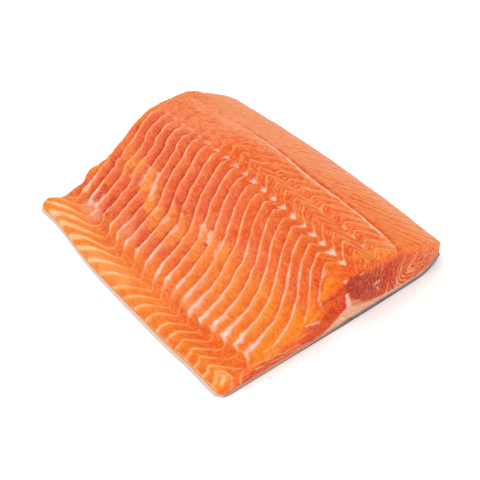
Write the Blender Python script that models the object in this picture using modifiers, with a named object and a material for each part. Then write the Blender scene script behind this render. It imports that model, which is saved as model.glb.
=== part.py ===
"""Salmon trout fillet: a full-width portion of one side of the fish, lying skin down.

Metres, +Z up. The origin is on the table under the middle of the portion. +X runs along the fish to
the cut end that shows, +Y to the edge of the back and -Y to the edge of the belly.

Three layers, each its own solid: the flesh, with its flakes in relief, the fat under it along the
side line, and the skin that both lie on.
"""

import bmesh
import bpy
import numpy as np

MM = 0.001

# The whole portion
LENGTH = 196.0 * MM  # along the fish, from cut to cut
WIDTH = 170.8 * MM  # belly edge to back edge
SKIN = 1.2 * MM
GAP = 0.3 * MM  # kept between one layer and the next
SKIN_PROUD = 0.8 * MM  # the skin shows past the flesh at the cuts and the back
BELLY_PROUD = 1.4 * MM  # and past it along the belly

# The skin lies flat, then curls up towards the back
CURL_FROM = 60.0 * MM
CURL_TO = 86.0 * MM
CURL_RISE = 3.4 * MM
CURL_BEND = 1.2  # over 1, the skin stays down longer

# Thickness of the fat across the fish: a wedge under the side line that thins out towards the back
FAT = (
    (-16.0, 0.5),
    (-10.0, 2.2),
    (-3.0, 6.2),
    (3.0, 10.0),
    (8.0, 9.0),
    (14.0, 6.8),
    (22.0, 4.6),
    (32.0, 3.0),
    (45.0, 1.8),
    (60.0, 1.2),
    (76.0, 0.5),
)

# Height of the flesh over the table, across the fish: y, then at the far cut, the middle, the near cut
SECTIONS = (
    (-86.0, 2.6, 2.8, 3.2),
    (-82.0, 4.6, 5.0, 5.6),
    (-76.0, 6.4, 8.6, 10.2),
    (-68.0, 7.8, 10.6, 13.2),
    (-58.0, 9.8, 12.0, 14.6),
    (-46.0, 11.6, 13.2, 15.6),
    (-30.0, 16.6, 16.8, 17.4),
    (-16.0, 23.8, 23.8, 23.4),
    (-4.0, 31.8, 31.8, 30.8),
    (10.0, 36.6, 36.2, 35.0),
    (24.0, 38.1, 37.5, 35.6),
    (36.0, 38.0, 37.5, 34.8),
    (43.0, 36.4, 36.8, 33.8),
    (53.0, 31.8, 32.0, 29.6),
    (67.0, 24.8, 24.6, 22.6),
    (79.0, 16.8, 17.2, 15.4),
    (86.0, 10.6, 11.2, 9.8),
)

# The seam between the back muscle and the loin, a sharp groove beside a low crest
GROOVE_Y = 44.8 * MM
GROOVE_HALF = 1.7 * MM
GROOVE_DEPTH = 1.3 * MM

# Flakes: one muscle segment for each pin bone, counted from the far cut
PIN_BONES = (0, 5, 10, 15, 20)
PIN_BONE_X = (-92.0, -50.5, -3.5, 43.0, 87.5)
PAST_SPACING = 8.9 * MM  # from seam to seam past the last pin bones
FIRST_FLAKE = -6
LAST_FLAKE = 23
# How far a flake's seam has run along the fish at y: at the far cut, the middle, the near cut
SEAM_RUN = (
    (-86.0, -20.0, 22.0, 16.0),
    (-78.0, -6.0, 26.0, 18.0),
    (-74.0, 1.5, 35.0, 28.5),
    (-70.0, 10.5, 39.5, 34.5),
    (-66.0, 17.5, 36.0, 38.0),
    (-60.0, 21.5, 31.0, 32.0),
    (-48.0, 17.0, 27.5, 27.5),
    (-34.0, 10.5, 20.5, 22.0),
    (-22.0, 6.5, 13.5, 14.0),
    (-10.0, 3.5, 6.5, 3.5),
    (0.0, 0.5, 3.0, -5.0),
    (6.0, 0.0, -1.5, -7.5),
    (16.0, 0.0, 0.0, 0.0),
    (88.0, 0.0, 0.0, 0.0),
)
# Places across one flake, and the share of the full relief there
FLAKE_ROWS = (0.0, 0.28, 0.62, 0.9)
FLAKE_SHARE = (0.75, 1.0, 0.62, 0.0)
FLAKE_DEPTH = 1.1 * MM
FLAKE_FADE = (9.0 * MM, 17.0 * MM)  # the relief dies out over this stretch of y

# Where the cuts run: y, then how far the cut stands back from the end of the skin
NEAR_CUT = (
    (-85.4, 7.0),
    (-83.4, 4.4),
    (-81.6, 1.4),
    (-77.0, 0.0),
    (0.0, 0.0),
    (45.0, 0.4),
    (64.0, 0.9),
    (75.0, 2.4),
    (85.4, 5.6),
)
FAR_CUT = (
    (-85.4, 12.0),
    (-80.0, 6.6),
    (-75.0, 4.8),
    (-66.0, 11.4),
    (-52.0, 10.0),
    (-43.0, 4.2),
    (-26.0, 4.4),
    (-8.0, 2.8),
    (6.0, 0.6),
    (36.0, 0.0),
    (50.0, 2.4),
    (68.0, 4.0),
    (85.4, 9.0),
)
# Where the long edges run: x, then how far the edge stands in from the widest line
BELLY_EDGE = (
    (-98.0, 5.2),
    (-80.0, 5.6),
    (-62.0, 4.0),
    (-40.0, 1.4),
    (-10.0, 0.1),
    (30.0, 0.0),
    (54.0, 0.6),
    (74.0, 2.2),
    (98.0, 1.8),
)
BACK_EDGE = ((-98.0, 9.2), (-60.0, 4.8), (-10.0, 0.3), (10.0, 0.0), (50.0, 1.2), (98.0, 2.6))

# The near cut is torn back above the skin, beside the pin bones
TORN_Y = -8.6 * MM
TORN_HALF = 15.0 * MM
TORN_SLOPE = 0.17

# Room that the cutters need past the flesh, and the fineness of each grid along the fish and across it
BLOCK_TOP = 60.0 * MM
SLAB_BOTTOM = -5.0 * MM
PAST_CUTS = 5.0 * MM
BLOCK_STEPS = (26, 28)
SKIN_STEPS = (22, 28)
FAT_STEPS = (16, 30)


def curve(table, column, at):
    """Smooth curve through a table whose first column rises, read at the given places. It never swings past
    the table's own values. Millimetres in the table, metres outside it."""
    knots = np.array([row[0] for row in table]) * MM
    values = np.array([row[column] for row in table]) * MM
    rises = np.diff(values) / np.diff(knots)
    before, after = rises[:-1], rises[1:]
    steepest = 2.0 * np.minimum(np.abs(before), np.abs(after))
    turn = (np.sign(before) + np.sign(after)) / 2.0
    slopes = np.empty_like(values)
    slopes[1:-1] = turn * np.minimum(np.abs(before + after) / 2.0, steepest)
    slopes[0], slopes[-1] = rises[0], rises[-1]
    at = np.clip(at, knots[0], knots[-1])
    i = np.clip(np.searchsorted(knots, at) - 1, 0, len(knots) - 2)
    step = knots[i + 1] - knots[i]
    t = (at - knots[i]) / step
    rise = values[i + 1] - values[i]
    smooth = t * t * (3.0 - 2.0 * t)
    swing = t * (1.0 - t) * step
    return values[i] + rise * smooth + swing * (slopes[i] * (1.0 - t) - slopes[i + 1] * t)


def three_point(far, middle, near, share):
    """Parabola through the values at the far cut, the middle and the near cut; share runs from 0 to 1."""
    return (
        far * (1.0 - share) * (1.0 - 2.0 * share)
        + middle * 4.0 * share * (1.0 - share)
        + near * share * (2.0 * share - 1.0)
    )


def smoothstep(low, high, at):
    t = np.clip((at - low) / (high - low), 0.0, 1.0)
    return t * t * (3.0 - 2.0 * t)


def flesh_height(x, y):
    """The flesh's upper surface without its flakes."""
    share = np.clip(x / LENGTH + 0.5, 0.0, 1.0)
    heights = [curve(SECTIONS, column, y) for column in (1, 2, 3)]
    groove = np.clip(1.0 - np.abs(y - GROOVE_Y) / GROOVE_HALF, 0.0, 1.0)
    return three_point(*heights, share) - GROOVE_DEPTH * groove


def pin_bone_x(flake):
    """Place of a pin bone along the fish; a flake past the ends keeps the spacing of its neighbours."""
    past = np.minimum(flake, 0.0) + np.maximum(flake - PIN_BONES[-1], 0.0)
    return np.interp(flake, PIN_BONES, PIN_BONE_X) * MM + PAST_SPACING * past


def seam_x(flake, y):
    """Where the seam of a flake crosses the line y."""
    share = np.clip(flake / PIN_BONES[-1], 0.0, 1.0)
    runs = [curve(SEAM_RUN, column, y) for column in (1, 2, 3)]
    return pin_bone_x(flake) + three_point(*runs, share)


def flake_relief(share_of_depth, y):
    return FLAKE_DEPTH * share_of_depth * (1.0 - smoothstep(*FLAKE_FADE, y))


def curl(y):
    """Height of the skin's underside."""
    return CURL_RISE * smoothstep(CURL_FROM, CURL_TO, y) ** CURL_BEND


def above_skin(y):
    return curl(y) + SKIN + GAP


def between_cuts(u, y, inset):
    """Place along the fish on the line y; u runs from the far cut to the near one, 0 to 1."""
    far = -LENGTH / 2 + curve(FAR_CUT, 1, y) + inset
    near = LENGTH / 2 - curve(NEAR_CUT, 1, y) - inset
    return far + (near - far) * u


def outline(u, v, inset, belly_inset):
    """Plan position of a point of the portion; u runs from the far cut to the near one and v from belly to
    back, each 0 to 1. The insets draw the edges in."""
    along = (u - 0.5) * LENGTH
    belly = -WIDTH / 2 + curve(BELLY_EDGE, 1, along) + belly_inset
    back = WIDTH / 2 - curve(BACK_EDGE, 1, along) - inset
    y = belly + (back - belly) * v
    return between_cuts(u, y, inset), y


def column_places():
    """Places across the fish of the slab's columns, closer at the belly's zigzag and at the groove."""
    belly = np.arange(-88.0, -60.0, 2.8) * MM
    middle = np.arange(-60.0, 42.0, 5.0) * MM
    groove = GROOVE_Y + GROOVE_HALF * np.array([-1.0, 0.0, 1.0])
    back = np.linspace(51.0, 88.0, 8) * MM
    return np.concatenate([belly, middle, groove, back])


def unit_grid(steps, place):
    """A sheet of steps[0] by steps[1] faces; place(u, v) puts each corner, u and v running 0 to 1."""
    bm = bmesh.new()
    bmesh.ops.create_grid(bm, x_segments=steps[0], y_segments=steps[1], size=0.5)
    for vert in bm.verts:
        vert.co = place(vert.co.x + 0.5, vert.co.y + 0.5)
    return bm


def extrude_to(bm, place):
    """Closes a sheet into a solid, with the far side of it moved by place(co)."""
    made = bmesh.ops.extrude_face_region(bm, geom=bm.faces[:])
    moved = [item for item in made["geom"] if isinstance(item, bmesh.types.BMVert)]
    for vert in moved:
        vert.co = place(vert.co)
    bmesh.ops.recalc_face_normals(bm, faces=bm.faces[:])
    return moved


def mesh_object(name, bm, collection):
    mesh = bpy.data.meshes.new(name)
    bm.to_mesh(mesh)
    bm.free()
    made = bpy.data.objects.new(name, mesh)
    collection.objects.link(made)
    return made


def make_slab(collection):
    """The flesh before it is cut to its outline: its rows follow the seams between the flakes."""
    columns = column_places()
    rows = (LAST_FLAKE - FIRST_FLAKE) * len(FLAKE_ROWS)

    def place(u, v):
        flake, row = divmod(round(u * rows), len(FLAKE_ROWS))
        y = columns[round(v * (len(columns) - 1))]
        x = seam_x(FIRST_FLAKE + flake + FLAKE_ROWS[row], y)
        return x, y, flesh_height(x, y) + flake_relief(FLAKE_SHARE[row], y)

    bm = unit_grid((rows, len(columns) - 1), place)
    under = set(extrude_to(bm, lambda co: (co.x, co.y, SLAB_BOTTOM)))
    flat = [face for face in bm.faces if all(vert in under for vert in face.verts)]
    bmesh.ops.dissolve_faces(bm, faces=flat)
    return mesh_object("flesh", bm, collection)


def torn_back(y):
    """How far the near cut leans back for each metre of height."""
    return TORN_SLOPE * np.clip(1.0 - ((y - TORN_Y) / TORN_HALF) ** 2, 0.0, 1.0)


def make_block(collection):
    """The block that the slab is trimmed to: the flesh's outline, standing just over the skin."""

    def place(u, v):
        x, y = outline(u, v, SKIN_PROUD, BELLY_PROUD)
        return x, y, above_skin(y)

    def raised(co):
        near_end = smoothstep(0.3 * LENGTH, 0.5 * LENGTH, co.x)
        return co.x - torn_back(co.y) * near_end * (BLOCK_TOP - co.z), co.y, BLOCK_TOP

    bm = unit_grid(BLOCK_STEPS, place)
    extrude_to(bm, raised)
    return mesh_object("flesh_outline", bm, collection)


def make_fat(name, collection, inset, clearance):
    """The fat, or the bed that the flesh is hollowed to, which clears the fat on every side."""
    first, last = FAT[0][0] * MM, FAT[-1][0] * MM

    def place(u, v):
        y = first + (last - first) * v
        outward = round(v) * 2 - 1 if min(v, 1.0 - v) < 0.5 / FAT_STEPS[1] else 0
        return between_cuts(u, y, inset), y + outward * clearance, above_skin(y) - clearance

    bm = unit_grid(FAT_STEPS, place)
    extrude_to(bm, lambda co: (co.x, co.y, co.z + curve(FAT, 1, co.y) + 2.0 * clearance))
    return mesh_object(name, bm, collection)


def boolean(target, operation, cutter):
    cutter.hide_render = True
    cutter.display_type = "WIRE"
    cut = target.modifiers.new(cutter.name, "BOOLEAN")
    cut.operation = operation
    cut.solver = "EXACT"
    cut.object = cutter


def make_flesh(parts, cutters):
    flesh = make_slab(parts)
    boolean(flesh, "INTERSECT", make_block(cutters))
    boolean(flesh, "DIFFERENCE", make_fat("fat_bed", cutters, -PAST_CUTS, GAP))
    return flesh


def make_skin(parts):
    def place(u, v):
        x, y = outline(u, v, 0.0, 0.0)
        return x, y, curl(y)

    skin = mesh_object("skin", unit_grid(SKIN_STEPS, place), parts)
    shell = skin.modifiers.new("thickness", "SOLIDIFY")
    shell.thickness = SKIN
    shell.offset = 1.0
    return skin


def material(name, colour, roughness):
    made = bpy.data.materials.new(name)
    made.use_nodes = True
    shader = made.node_tree.nodes["Principled BSDF"]
    shader.inputs["Base Color"].default_value = (*colour, 1.0)
    shader.inputs["Roughness"].default_value = roughness
    shader.inputs["Metallic"].default_value = 0.0
    return made


def new_collection(name):
    made = bpy.data.collections.new(name)
    bpy.context.scene.collection.children.link(made)
    return made


def main():
    for old in list(bpy.data.objects):
        bpy.data.objects.remove(old)
    parts = new_collection("salmon_trout_fillet")
    cutters = new_collection("cutters")
    flesh = make_flesh(parts, cutters)
    fat = make_fat("fat", parts, SKIN_PROUD, 0.0)
    skin = make_skin(parts)
    flesh.data.materials.append(material("flesh", (0.83, 0.24, 0.08), 0.3))
    fat.data.materials.append(material("fat", (0.80, 0.62, 0.47), 0.4))
    skin.data.materials.append(material("skin", (0.16, 0.19, 0.22), 0.35))


main()
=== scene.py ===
"""Salmon trout fillet: the looks of a raw portion that lies on its skin.

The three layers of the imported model, flesh, fat and skin, are replaced by finer meshes of the same form,
apart from a millimetre or two along the edges.
Shapes are worked out in millimetres: x along the fish to the near cut, y across it to the edge of the back,
z up from the table. A flake is one muscle segment, counted by its pin bone from the far cut, and the thin
white walls between flakes are its seams.
"""

import math

import bpy
import numpy as np
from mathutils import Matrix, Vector


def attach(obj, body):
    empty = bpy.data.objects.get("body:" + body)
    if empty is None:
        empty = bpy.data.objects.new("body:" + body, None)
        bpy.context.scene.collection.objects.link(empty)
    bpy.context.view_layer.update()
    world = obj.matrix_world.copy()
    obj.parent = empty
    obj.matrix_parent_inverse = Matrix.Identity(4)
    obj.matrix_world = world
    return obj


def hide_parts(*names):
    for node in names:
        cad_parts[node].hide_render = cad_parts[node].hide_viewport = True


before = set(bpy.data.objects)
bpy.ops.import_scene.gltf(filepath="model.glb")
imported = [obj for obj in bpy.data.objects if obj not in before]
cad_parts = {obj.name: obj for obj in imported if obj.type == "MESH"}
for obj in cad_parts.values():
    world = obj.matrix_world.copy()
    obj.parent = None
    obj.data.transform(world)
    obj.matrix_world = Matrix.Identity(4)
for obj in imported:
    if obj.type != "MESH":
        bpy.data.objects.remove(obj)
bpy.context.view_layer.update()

MM = 0.001
SEED = 11

# The whole portion, in millimetres
LENGTH = 196
WIDTH = 170.8
SKIN = 1.2
SKIN_PROUD = 0.8
BELLY_PROUD = 1.4
CURL_FROM, CURL_TO, CURL_RISE, CURL_BEND = 60, 86, 3.4, 1.2

# Thickness of the fat across the fish
FAT = (
    (-18, 0), (-16, 0.5), (-10, 2.2), (-3, 6.2), (3, 10), (8, 9), (14, 6.8), (22, 4.6), (32, 3), (45, 1.8),
    (60, 1.2), (76, 0.5), (79, 0),
)

# Height of the flesh over the table, across the fish: y, then at the far cut, the middle, the near cut
SECTIONS = (
    (-86, 2.6, 2.8, 3.2), (-82, 4.6, 5, 5.6), (-76, 6.4, 8.6, 10.2), (-68, 7.8, 10.6, 13.2),
    (-58, 9.8, 12, 14.6), (-46, 11.6, 13.2, 15.6), (-30, 16.6, 16.8, 17.4), (-16, 23.8, 23.8, 23.4),
    (-4, 31.8, 31.8, 30.8), (10, 36.6, 36.2, 35), (24, 38.1, 37.5, 35.6), (36, 38, 37.5, 34.8),
    (43, 36.4, 36.8, 33.8), (53, 31.8, 32, 29.6), (67, 23.7, 25.8, 23.4), (79, 15, 18.9, 16.5),
    (86, 8.9, 12.8, 10.8),
)

# Where the cuts and the long edges run: how far each stands in from the widest line
NEAR_CUT = (
    (-85.4, 6.4), (-83.6, 3.4), (-81.8, 1.1), (-77, 0), (0, 0), (45, 0.4), (64, 0.9), (75, 2.4),
    (85.4, 5.6),
)
FAR_CUT = (
    (-85.4, 12), (-80, 6.6), (-75, 4.8), (-66, 11.4), (-52, 10), (-43, 4.2), (-26, 4.4), (-8, 2.8),
    (6, 0.6), (36, 0), (50, 2.4), (68, 4), (85.4, 9),
)
BELLY_EDGE = (
    (-98, 4.7), (-80, 5), (-62, 3.5), (-40, 1.2), (-10, 0.1), (30, 0), (54, 0.2), (74, 1), (98, 1),
)
BACK_EDGE = ((-98, 9.2), (-60, 4.8), (-10, 0.3), (10, 0), (50, 1.2), (98, 2.6))
TORN_Y, TORN_HALF, TORN_SLOPE = -8.6, 15, 0.17

# The near cut's face, y and z: two torn shelves, the dark muscle (middle, half width, half height, strength)
# and the line that the rings of the back muscle run round
LOWER_SHELF = ((-26.5, 17.8), (-15.2, 12.6), (-10, 12), (3, 12.4))
UPPER_SHELF = ((-14, 24.4), (-13.2, 23), (-6, 23.8), (1.5, 28.6), (4, 31))
SHELF_SHARES = (0.45, 0.35)  # how much of the lean back each of them takes
DARK_MUSCLE = ((14, 22, 11, 9, 0.9), (24, 17, 8, 7, 0.75), (8, 30, 6, 4, 0.6))
RING_HEART = ((54.5, 13.5), (82, 26))
RING_SPACING = 2.7
RING_SHOWS = (
    (-86, 0.2), (-12, 0.2), (-4, 0), (9, 0.05), (20, 0.26), (30, 0.24), (34, 0), (38, 0.35), (46, 1),
    (80, 1),
)
DARK_HEART = ((6, 19), (7, 30))
DARK_HEART_TO = 34
FAT_STREAK_SLOPE = 0.5
STREAK_SPACING = 3.6
BACK_LINES, LOIN_LINES = 2, 3  # lines for each flake, past the crest and before it
FAT_EDGE = ((-12, 2), (3, 11), (4, 17.5), (7, 16.5), (10, 13.8), (15, 10.4), (20, 7.4), (30, 4.6))

# Pin bones: every flake has one, and its seam bends there
PIN_BONES = (0, 5, 10, 15, 20)
PIN_BONE_X = (-92, -50.5, -3.5, 43, 87.5)
PAST_SPACING = 8.9

# The seams, one row for each bend: its y at the flakes of SEAM_FLAKES, how far the seam has run there along
# the fish from its pin bone, then its half width at the far and the near flakes, and how strongly it shows
SEAM_FLAKES = (0, 4, 8, 12, 16, 20)
SEAM_BENDS = (
    (6 * (-90,), (-50, -15, 14, 25, 22, 19), (1.4, 0.9), (0.9, 0.7)),
    ((-72, -79.8, -83.7, -83, -83, -83), (-2.3, 6.4, 19.3, 25.8, 22.2, 19), (1.4, 0.9), (0.9, 0.75)),
    ((-70, -77.5, -80.6, -79.8, -80.6, -81), (2.5, 11, 23.9, 26.2, 23.4, 20), (1.2, 0.8), (0.9, 0.7)),
    ((-68.3, -76, -78.5, -77.5, -78.7, -78.7), (6.7, 15, 28, 28, 21, 17), (0.9, 0.6), (0.9, 0.6)),
    ((-67, -73, -76.8, -75.5, -74.5, -75.5), (12.5, 24, 31.5, 31.5, 28, 23), (0.55, 0.35), (0.7, 0.54)),
    ((-64.8, -72.2, -73.8, -73.4, -69.8, -71.5), (19.6, 30.6, 37.7, 35.4, 35, 30), (0.42, 0.35), (0.5, 0.52)),
    ((-60.5, -69.3, -71.8, -72, -66.4, -68), (24, 34.5, 42, 38, 36.7, 39), (0.5, 0.4), (0.34, 0.48)),
    ((-58.3, -66.3, -68.6, -69, -63.3, -66), (22.5, 32.5, 37.5, 34.2, 34.2, 37), (0.5, 0.35), (0.08, 0.34)),
    ((-54.5, -60.5, -64, -66, -62.3, -60.5), (19.4, 26, 33, 31.2, 29.7, 30), (1, 1.75), (0.7, 0.95)),
    ((-46, -52, -52, -48.5, -50, -48), (16.3, 23, 27.5, 26.5, 26.5, 27.6), (0.8, 1.1), (0.65, 0.88)),
    ((-38, -40, -40, -40, -40, -38), (12.3, 18.6, 23.3, 23.1, 23.7, 23.4), (0.5, 0.7), (0.36, 0.8)),
    ((-30.4, -30.8, -30.2, -31, -30, -28.6), (10, 16.2, 20, 18, 18.8, 19), (0.45, 0.55), (0.34, 0.72)),
    ((-28, -22.5, -21.7, -19.4, -21, -18.6), (7.4, 10.2, 13.5, 13.3, 13.4, 11.5), (0.5, 0.7), (0.5, 0.82)),
    ((-16, -15, -12, -12.5, -14, -10.2), (6, 7.5, 7.9, 8, 8, 1.7), (0.6, 0.65), (0.55, 0.8)),
    ((-10.8, -3.4, -5, -6.3, -6.3, -4.8), (4.9, 5.3, 5.4, 4, 1.8, -2.9), (0.65, 0.55), (0.65, 0.72)),
    ((-8, -0.6, 3.7, -0.2, 1.4, -0.2), (3, 3, 1.5, 0.8, -2.3, -6.2), (0.65, 0.5), (0.7, 0.7)),
    ((6, 7, 9.8, 7.5, 6.8, 3.3), (-0.4, -0.2, -0.8, -2.4, -5.4, -7.4), (0.6, 0.42), (0.7, 0.62)),
    ((13, 14.5, 14.5, 13, 11, 8.3), (0.4, 0.4, 0.4, 0.6, 1.4, 1.6), (0.4, 0.4), (0.5, 0.5)),
    ((15, 16.3, 16, 14.6, 12.6, 9.9), (-0.4, -0.4, -1.2, -1.6, -1.8, -1.6), (0.4, 0.45), (0.4, 0.5)),
    ((18, 19, 19.5, 18, 16.5, 14), (-1.2, -1.2, -3.8, -5.6, -8.2, -7.5), (0.4, 0.45), (0.35, 0.5)),
    ((21.4, 23, 25, 23.5, 22, 20), (-3, -3, -8.5, -11, -13, -13.7), (0.45, 0.5), (0.42, 0.65)),
    ((25.9, 26.2, 27.5, 28, 27.8, 24.6), (-2, 0, -6.2, 2, 4.4, 6.5), (0.5, 0.55), (0.42, 0.6)),
    ((29.4, 29.6, 30.5, 31.5, 32, 30), (2, 3, -2.5, 1, 1.6, 2.5), (0.5, 0.55), (0.38, 0.62)),
    ((35, 35, 34.5, 35, 35, 35), (6, 7, 3.5, 5.5, 5.5, 6.5), (0.7, 0.9), (0.3, 0.52)),
    ((39, 39, 38.5, 39, 39, 39), (9.5, 10.3, 9.5, 11, 13, 13), (0.7, 0.9), (0.28, 0.45)),
    (6 * (43.4,), (13, 13.3, 16.5, 19, 19.5, 18), (0.5, 0.5), (0.4, 0.5)),
    (6 * (49,), (18.6, 19.2, 24.2, 28.1, 30, 30.6), (0.8, 0.7), (0.5, 0.55)),
    (6 * (56,), (25.6, 25.9, 31.2, 38.6, 44, 46), (0.9, 0.8), (0.55, 0.6)),
    (6 * (63.5,), (29.8, 31.8, 39.6, 49.1, 55.9, 58.6), (0.9, 0.8), (0.5, 0.55)),
    (6 * (71.4,), (32.6, 34.6, 44.5, 55.4, 63.2, 67), (0.9, 0.9), (0.55, 0.6)),
    (6 * (88,), (38.2, 40.9, 53.6, 65.2, 74.5, 79.6), (0.8, 0.8), (0.2, 0.2)),
)
TIP_BEND = 8  # the row of SEAM_BENDS where the broad white tips end
TIP_RISES = ((5, 0), (6, 1.6), (7, 1.4), (8, 0.6), (9, 4), (11, 4.8), (12, 0), (14, 0.6), (15, 0))
APEX_BEND = 17  # the row with the white spots over the pin bones, whose lengths follow
APEX_SPOTS = ((0, 3), (6, 4.4), (20, 5.8))
TORN_FLAKE = 21  # from this flake on, the torn corner shows no spot
FAR_FLAKE, NEAR_FLAKE = 3, 13  # the widths above belong before the one and past the other
CORNER_HALF = 0.6  # the seams turn over this much of y
WOBBLES = ((0.42, 6), (0.28, 2.4), (0.1, 1.1))  # how far a seam wanders, and over what length
FAR_WOBBLE = 1.4  # how much more the seams of the far flakes wander

# The fine grid of the flesh: rows across one flake, columns across the fish, levels down a cut face
FIRST_FLAKE, LAST_FLAKE = -6, 25
FLAKE_ROWS = (0, 0.045, 0.1, 0.18, 0.28, 0.4, 0.53, 0.66, 0.78, 0.88, 0.95)
COLUMNS = 262
LEVELS = 26
GRID_ROUNDS = 4  # x and y hang on each other, so both are worked out this often
NEAR_FACE, FAR_FACE = 1, 3  # the cuts among the four sides, which are counted from the belly edge
RIM_SHARE = 0.002  # the first level lies this close under the rim, so that the looks change at once
FLAKE_GRAIN = 9  # the grain's count for each flake
FAT_STEPS, FAT_LAYERS = (60, 150), 6
SKIN_STEPS = (150, 134)
SKIN_SHARES = (0.25, 0.55, 0.85)  # of the skin's thickness, where its sides have vertices
THINNEST_FAT = 0.05

# What the flesh's material reads at each vertex, besides its grain
LOOKS = ("tone", "seam", "seam_width", "seam_shows", "seam_tone", "ring", "ring_shows", "ring_soft", "loin")
NO_SEAM = 9  # a seam distance past every seam
CUT_GRAIN = 0.2  # how coarse a cut's fibres are

# Height across one flake: a seam stands on the step up from the valley before it
PROFILE_AT = (0, 0.045, 0.1, 0.18, 0.28, 0.4, 0.53, 0.66, 0.78, 0.88, 0.95, 1)
PROFILE = (0.72, 0.92, 1, 1, 0.95, 0.83, 0.65, 0.45, 0.23, 0.02, 0.18, 0.72)
# Depth of the flakes across the fish, at the far cut, the middle, the near cut
RELIEF = (
    (-86, 0.1, 0.1, 0.1), (-80, 0.35, 0.35, 0.3), (-72, 0.36, 0.26, 0.25), (-64, 0.42, 0.32, 0.28),
    (-52, 1.15, 1, 0.6), (-36, 1.45, 1.15, 0.65), (-18, 1.7, 1.4, 0.65), (0, 1.55, 1.35, 0.55),
    (9, 1.1, 0.8, 0.4), (16, 0.35, 0.3, 0.25), (24, 0.12, 0.12, 0.12), (40, 0.12, 0.12, 0.12),
    (50, 0.25, 0.25, 0.22), (72, 0.2, 0.2, 0.2), (86, 0.05, 0.05, 0.05),
)
# The crest of the loin, and the groove behind it
CREST_LINE = (
    (-98, 36.3), (-86, 36.6), (-60, 38), (-45, 40.3), (-30, 42), (-18, 43), (0, 42.9), (15, 41.9),
    (30, 41.6), (50, 42.4), (66, 42.3), (78, 41.5), (90, 40.2), (98, 38.2),
)
CREST_LIP = 0.4
GROOVE_PAST_CREST = 1.9
GROOVE_HALF = 1.5
GROOVE_DEPTH = 1.4

# Colours as they look in daylight, red, green, blue out of 255. Some of them are laid as painted highlights
# and painted shade.
FLESH_ORANGE = (253, 138, 60)
FLESH_RED = (243, 110, 54)
FLESH_PINK = (247, 116, 78)
NEAR_RED = (240, 98, 34)
LOIN = (248, 102, 34)
CREST_PINK = (246, 154, 112)
# Painted shade of the groove behind the crest
GROOVE_SHADE = (236, 104, 18)
BACK_ORANGE = (252, 106, 8)
BACK_PINK = (252, 148, 100)
# Dark red, laid as mottled patches and as painted shade in valleys, crevices and under the torn shelves
DARK_RED_AND_SHADE = (214, 66, 24)
# Pale orange, laid as mottle and as painted highlights
PALE_ORANGE_AND_HIGHLIGHT = (254, 160, 76)
TEAR_ORANGE = (252, 118, 10)
TIP_YELLOW = (254, 146, 34)
# Bright orange, laid as painted highlights on the torn bulbs and as colour in the near belly corner
BRIGHT_ORANGE_AND_HIGHLIGHT = (255, 150, 20)
STRIPE_CREAM = (254, 210, 156)
SEAM_PINK = (254, 208, 192)
TIP_WHITE = (255, 224, 216)
SEAM_ORANGE = (253, 170, 108)
RIM = (250, 180, 112)
CUT_RED = (206, 58, 20)
CUT_ORANGE = (254, 112, 16)
CUT_LIGHT = (224, 74, 14)
CUT_DARK = (170, 42, 18)
CUT_SEAM = (255, 194, 140)
BAND_RED = (222, 76, 28)
FAT_TAN = (228, 148, 106)
FAT_WHITE = (242, 198, 166)
MEMBRANE = (242, 214, 196)
EDGE_CREAM = (218, 172, 148)
SKIN_SILVER = (176, 180, 184)
SKIN_BLUE = (92, 96, 108)
SKIN_DARK = (32, 32, 38)
SKIN_LINE = (104, 102, 110)
SKIN_PALE = (222, 198, 188)
SKIN_MIST = (160, 154, 156)
# Painted glints of the wet surface
PAINTED_GLINT = (255, 196, 150)
# Painted highlight colours: the peach only lights the flakes' raised sides, and the pale pink also lightens
# places in soft strokes
PALE_PINK_AND_HIGHLIGHT = (255, 172, 132)
HIGHLIGHT_PEACH = (255, 168, 100)
BACK_LIGHT = (255, 165, 84)
# Cream, laid as colour near the belly edge and as painted highlight on the low flakes
CREAM_AND_HIGHLIGHT = (255, 198, 140)
APEX_WHITE = (255, 226, 208)
NEAR_TINT = (1, 0.98, 0.5)  # what the flesh's colour keeps near the near cut, where it is more orange
EXPOSURE = 1.08  # light that falls on the table, over what makes a white surface just white
FLOOR_GLOW = 0.16  # light that the white surface adds, so its shadows stay faint
SHEEN = 0.015  # white that the wet surface adds to every colour
SPOT_BLACK = (0.01, 0.012, 0.015)  # linear, as is the floor's white
FLOOR_WHITE = (0.94, 0.93, 0.925)
FLOOR_SIZE, FLOOR_Z = 6, -0.0002  # in metres, as are the lamps' places and sizes
SKY_STRENGTH = 0.92
LAMPS = (("key", (-0.1, -0.25, 1.05), 0.35, 2.3), ("front", (1, -0.3, 0.42), 0.5, 1))  # the last is the power
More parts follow.
